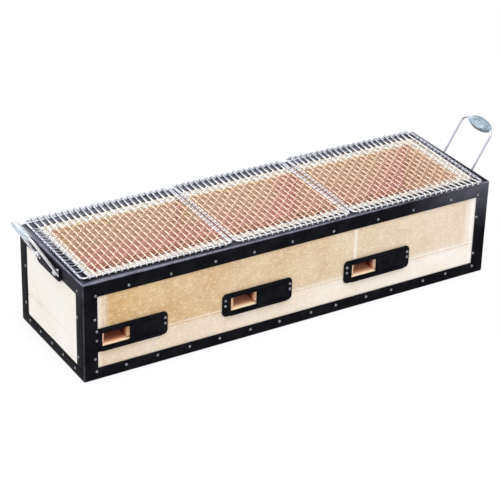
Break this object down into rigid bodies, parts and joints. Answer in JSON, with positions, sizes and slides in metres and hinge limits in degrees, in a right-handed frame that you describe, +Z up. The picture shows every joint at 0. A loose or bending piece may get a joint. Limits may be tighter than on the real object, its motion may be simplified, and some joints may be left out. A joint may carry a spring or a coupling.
{
  "type": "hibachi grill",
  "caption": "Long tabletop charcoal grill of diatomite blocks in a black steel frame, with sliding air vents, lift-off cooking nets and swinging bail handles.",
  "frame": {"origin": "middle of the grill's footprint, on the surface it stands on", "axes": "+X along the grill, +Y from the vented front to the back, +Z up"},
  "size_m": [0.913, 0.2461, 0.2481],
  "materials": {
    "diatomite": "matte",
    "pale_diatomite": "matte",
    "black_steel": "satin",
    "steel_wire": "satin",
    "stamped_steel": "satin",
    "net_wire": "satin",
    "cast_iron": "matte"
  },
  "bodies": {
    "box": {"base_slab": "pale_diatomite", "end_wall_left": "pale_diatomite", "end_wall_right": "pale_diatomite", "front_block_1": "diatomite", "front_block_2": "diatomite", "front_block_3": "diatomite", "back_block_1": "diatomite", "back_block_2": "diatomite", "back_block_3": "diatomite", "top_angle_front": "black_steel", "top_angle_back": "black_steel", "top_angle_left": "black_steel", "top_angle_right": "black_steel", "bottom_angle_front": "black_steel", "bottom_angle_back": "black_steel", "bottom_angle_left": "black_steel", "bottom_angle_right": "black_steel", "post_front_left": "black_steel", "post_front_right": "black_steel", "post_back_left": "black_steel", "post_back_right": "black_steel", "vent_plate_1": "black_steel", "vent_plate_2": "black_steel", "vent_plate_3": "black_steel", "handle_plate_left": "black_steel", "handle_plate_right": "black_steel", "eyelet_left_front": "steel_wire", "eyelet_left_back": "steel_wire", "eyelet_right_front": "steel_wire", "eyelet_right_back": "steel_wire"},
    "vent_door_1": {"vent_door_1": "black_steel"},
    "vent_door_2": {"vent_door_2": "black_steel"},
    "vent_door_3": {"vent_door_3": "black_steel"},
    "handle_left": {"bail_left": "steel_wire", "grip_left": "stamped_steel"},
    "handle_right": {"bail_right": "steel_wire", "grip_right": "stamped_steel"},
    "grate_1": {"fire_grate_1": "cast_iron"},
    "grate_2": {"fire_grate_2": "cast_iron"},
    "grate_3": {"fire_grate_3": "cast_iron"},
    "net_left": {"cooking_net_left": "net_wire"},
    "net_middle": {"cooking_net_middle": "net_wire"},
    "net_right": {"cooking_net_right": "net_wire"}
  },
  "joints": [
    {"name": "vent_door_1_slide", "type": "slide", "parent": "box", "child": "vent_door_1", "axis": [1, 0, 0], "range_m": [-0.05, 0]},
    {"name": "vent_door_2_slide", "type": "slide", "parent": "box", "child": "vent_door_2", "axis": [1, 0, 0], "range_m": [-0.05, 0]},
    {"name": "vent_door_3_slide", "type": "slide", "parent": "box", "child": "vent_door_3", "axis": [1, 0, 0], "range_m": [-0.05, 0]},
    {"name": "handle_left_swing", "type": "hinge", "parent": "box", "child": "handle_left", "pos_m": [-0.406, -0.003, 0.167], "axis": [0, -1, 0], "range_deg": [-44, 149]},
    {"name": "handle_right_swing", "type": "hinge", "parent": "box", "child": "handle_right", "pos_m": [0.406, -0.01, 0.167], "axis": [0, 1, 0], "range_deg": [-44, 149]},
    {"name": "grate_1_lift", "type": "slide", "parent": "box", "child": "grate_1", "axis": [0, 0, 1], "range_m": [0, 0.08]},
    {"name": "grate_2_lift", "type": "slide", "parent": "box", "child": "grate_2", "axis": [0, 0, 1], "range_m": [0, 0.08]},
    {"name": "grate_3_lift", "type": "slide", "parent": "box", "child": "grate_3", "axis": [0, 0, 1], "range_m": [0, 0.08]},
    {"name": "net_left_lift", "type": "slide", "parent": "box", "child": "net_left", "axis": [0, 0, 1], "range_m": [0, 0.12]},
    {"name": "net_middle_lift", "type": "slide", "parent": "box", "child": "net_middle", "axis": [0, 0, 1], "range_m": [0, 0.12]},
    {"name": "net_right_lift", "type": "slide", "parent": "box", "child": "net_right", "axis": [0, 0, 1], "range_m": [0, 0.12]}
  ]
}
